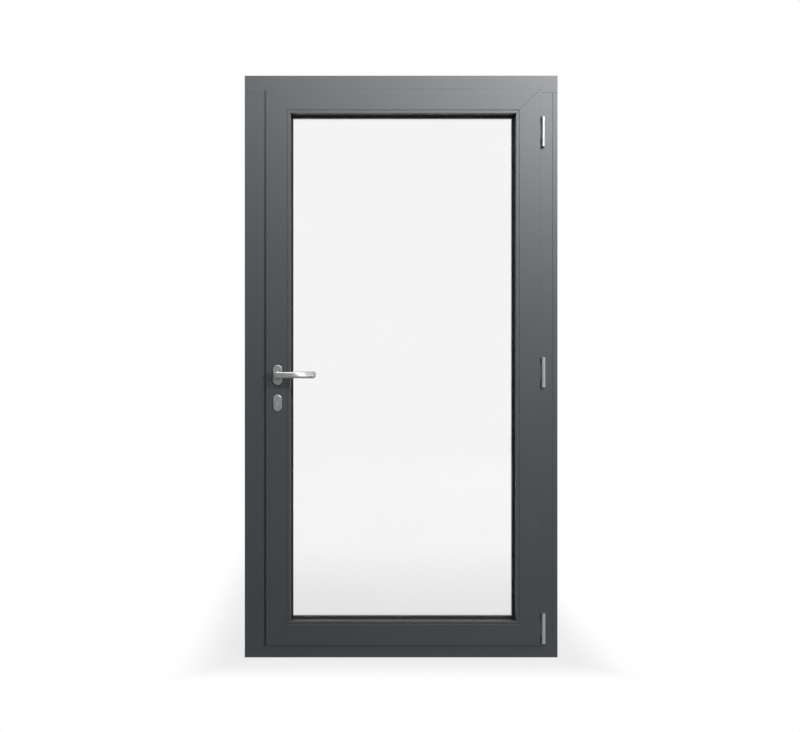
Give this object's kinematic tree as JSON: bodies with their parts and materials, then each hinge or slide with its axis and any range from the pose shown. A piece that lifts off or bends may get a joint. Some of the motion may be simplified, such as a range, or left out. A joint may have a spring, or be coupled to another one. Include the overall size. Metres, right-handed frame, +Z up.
{
  "type": "patio door",
  "caption": "Inward-opening single-leaf glazed patio door in its aluminium frame, with lever handle, cylinder lock and side hinges.",
  "frame": {"origin": "middle of the frame's bottom edge, midway through the sash's depth", "axes": "+X towards the hinge side, +Y from the room to the outside, +Z up"},
  "size_m": [1.156, 0.188, 2.15],
  "materials": {
    "anthracite_profile": "fine-textured anthracite grey powder coat on aluminium",
    "polyamide": "glass-filled polyamide thermal break",
    "black_epdm": "black extruded rubber gasket",
    "clear_glass": "clear float glass",
    "warm_edge_spacer": "black warm-edge spacer with sealant",
    "setting_block": "moulded setting block",
    "mill_aluminium": "mill-finish extruded corner connector",
    "silver_hinge": "silver satin hinge barrel",
    "satin_handle": "satin nickel-coloured handle furniture",
    "cylinder_brass": "nickel-plated brass",
    "lock_steel": "zinc-plated steel"
  },
  "bodies": {
    "frame": {"frame_corner_blocks": "mill_aluminium", "frame_gasket": "black_epdm", "frame_head_inner": "anthracite_profile", "frame_head_outer": "anthracite_profile", "frame_hinge_extension": "anthracite_profile", "frame_hinge_jamb_inner": "anthracite_profile", "frame_hinge_jamb_outer": "anthracite_profile", "frame_lock_extension": "anthracite_profile", "frame_lock_jamb_inner": "anthracite_profile", "frame_lock_jamb_outer": "anthracite_profile", "frame_screws": "lock_steel", "frame_sill_inner": "anthracite_profile", "frame_sill_outer": "anthracite_profile", "frame_thermal_breaks": "polyamide", "hinge_frame_leaves": "silver_hinge", "hinge_pins": "silver_hinge", "lock_strike": "lock_steel", "rod_keeps": "lock_steel"},
    "sash": {"cylinder_body": "cylinder_brass", "cylinder_screw": "lock_steel", "escutcheon_inside": "satin_handle", "escutcheon_outside": "satin_handle", "glass_inner_pane": "clear_glass", "glass_outer_pane": "clear_glass", "glass_spacer": "warm_edge_spacer", "glazing_bead_bottom": "anthracite_profile", "glazing_bead_hinge": "anthracite_profile", "glazing_bead_lock": "anthracite_profile", "glazing_bead_top": "anthracite_profile", "glazing_gasket_inner": "black_epdm", "glazing_gasket_outer": "black_epdm", "hinge_sash_leaves": "silver_hinge", "lock_case": "lock_steel", "lock_faceplate": "lock_steel", "rosette_inside": "satin_handle", "rosette_outside": "satin_handle", "sash_bottom_rail_inner": "anthracite_profile", "sash_bottom_rail_outer": "anthracite_profile", "sash_corner_cleats": "mill_aluminium", "sash_gasket": "black_epdm", "sash_hinge_stile_inner": "anthracite_profile", "sash_hinge_stile_outer": "anthracite_profile", "sash_lock_stile_inner": "anthracite_profile", "sash_lock_stile_outer": "anthracite_profile", "sash_screws": "lock_steel", "sash_thermal_breaks": "polyamide", "sash_top_rail_inner": "anthracite_profile", "sash_top_rail_outer": "anthracite_profile", "setting_blocks": "setting_block"},
    "handle": {"lever_inside": "satin_handle", "lever_outside": "satin_handle", "spindle": "lock_steel", "lock_follower": "lock_steel"},
    "latch": {"latch_bolt": "lock_steel"},
    "deadbolt": {"deadbolt": "lock_steel"},
    "key_inside": {"cylinder_plug_inside": "cylinder_brass", "cylinder_cam": "cylinder_brass"},
    "key_outside": {"cylinder_plug_outside": "cylinder_brass"},
    "rod_upper": {"drive_rod_upper": "lock_steel"},
    "rod_lower": {"drive_rod_lower": "lock_steel"}
  },
  "joints": [
    {"name": "sash_swing", "type": "hinge", "parent": "frame", "child": "sash", "pos_m": [0.5235, -0.034, 1.054], "axis": [0, 0, 1], "range_deg": [0, 170]},
    {"name": "lever_turn", "type": "hinge", "parent": "sash", "child": "handle", "pos_m": [-0.456, 0, 1.044], "axis": [0, 1, 0], "range_deg": [0, 40], "stiffness_Nm_per_rad": 1, "springref_deg": -28.65},
    {"name": "latch_slide", "type": "slide", "parent": "sash", "child": "latch", "axis": [1, 0, 0], "range_m": [0, 0.012]},
    {"name": "key_turn_inside", "type": "hinge", "parent": "sash", "child": "key_inside", "pos_m": [-0.456, 0, 0.952], "axis": [0, 1, 0], "range_deg": [0, 360]},
    {"name": "deadbolt_slide", "type": "slide", "parent": "sash", "child": "deadbolt", "axis": [-1, 0, 0], "range_m": [0, 0.02]},
    {"name": "bolt_throw", "type": "slide", "parent": "sash", "child": "rod_upper", "axis": [0, 0, 1], "range_m": [0, 0.02]},
    {"name": "rod_lower_slide", "type": "slide", "parent": "sash", "child": "rod_lower", "axis": [0, 0, -1], "range_m": [0, 0.02]},
    {"name": "key_turn_outside", "type": "hinge", "parent": "sash", "child": "key_outside", "pos_m": [-0.456, 0, 0.952], "axis": [0, 1, 0], "range_deg": [0, 360]}
  ],
  "couplings": [
    {"joint": "latch_slide", "follows": "lever_turn", "m_per_rad": 0.017189},
    {"joint": "key_turn_inside", "follows": "bolt_throw", "rad_per_m": 314.16},
    {"joint": "deadbolt_slide", "follows": "bolt_throw", "ratio": 1},
    {"joint": "rod_lower_slide", "follows": "bolt_throw", "ratio": 1}
  ]
}
